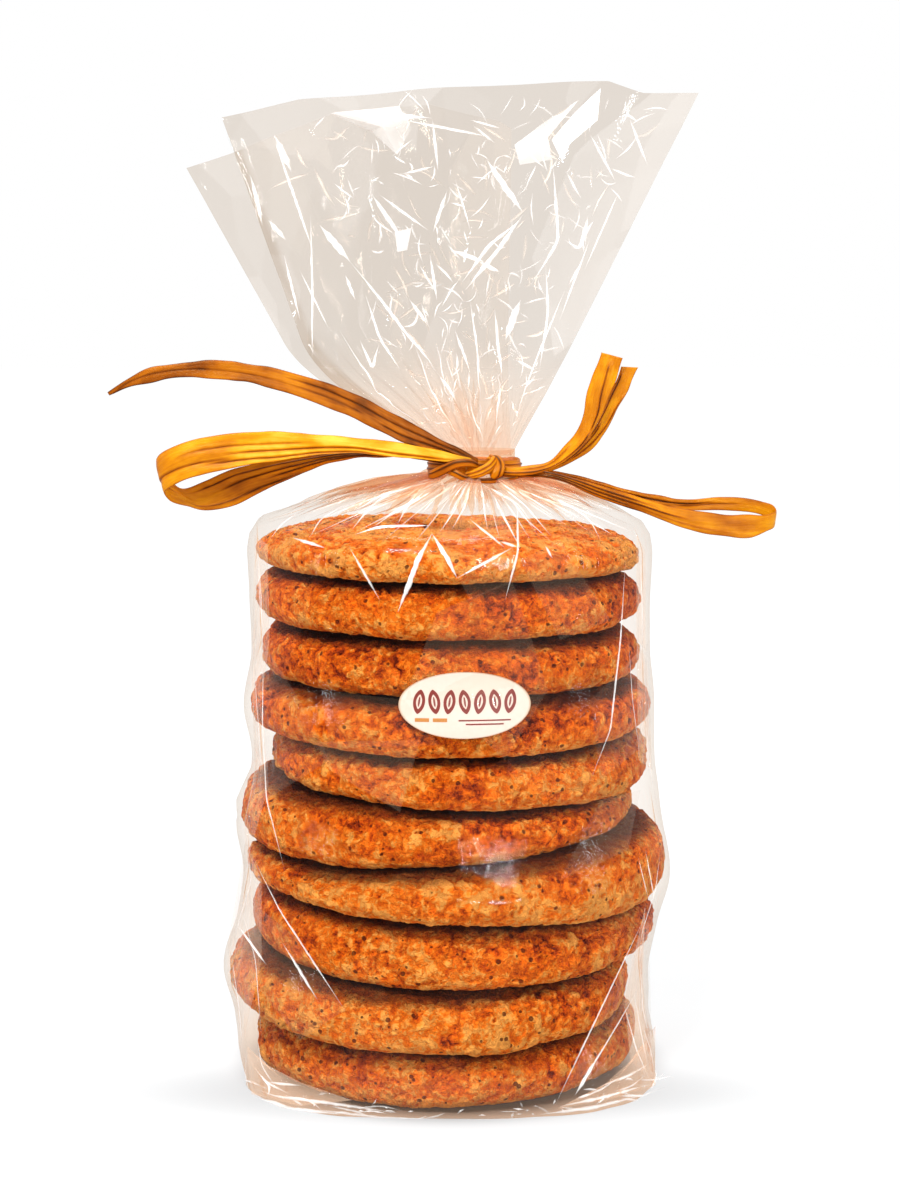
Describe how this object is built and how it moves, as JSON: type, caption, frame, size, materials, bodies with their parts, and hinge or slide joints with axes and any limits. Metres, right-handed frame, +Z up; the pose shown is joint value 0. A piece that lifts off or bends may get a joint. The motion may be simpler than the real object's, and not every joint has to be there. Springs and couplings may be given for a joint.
{
  "type": "bag of almond ring cookies",
  "caption": "Stack of round almond cookies in a clear film bag, gathered at the neck, tied with a raffia bow and marked with a plain oval label.",
  "frame": {"origin": "centre of the bag's flat base, on the surface it stands on", "axes": "+Z up along the stack, -Y towards the oval label at the front, +X to the right seen from the front"},
  "size_m": [0.148, 0.0958, 0.2219],
  "materials": {
    "film": "thin clear crinkled film",
    "label_paper": "smooth coated paper",
    "raffia": "glossy creased paper raffia",
    "cookie": "craggy baked almond crust"
  },
  "bodies": {
    "root": {"bag": "film", "label": "label_paper", "raffia_tie": "raffia"}
  },
  "joints": []
}
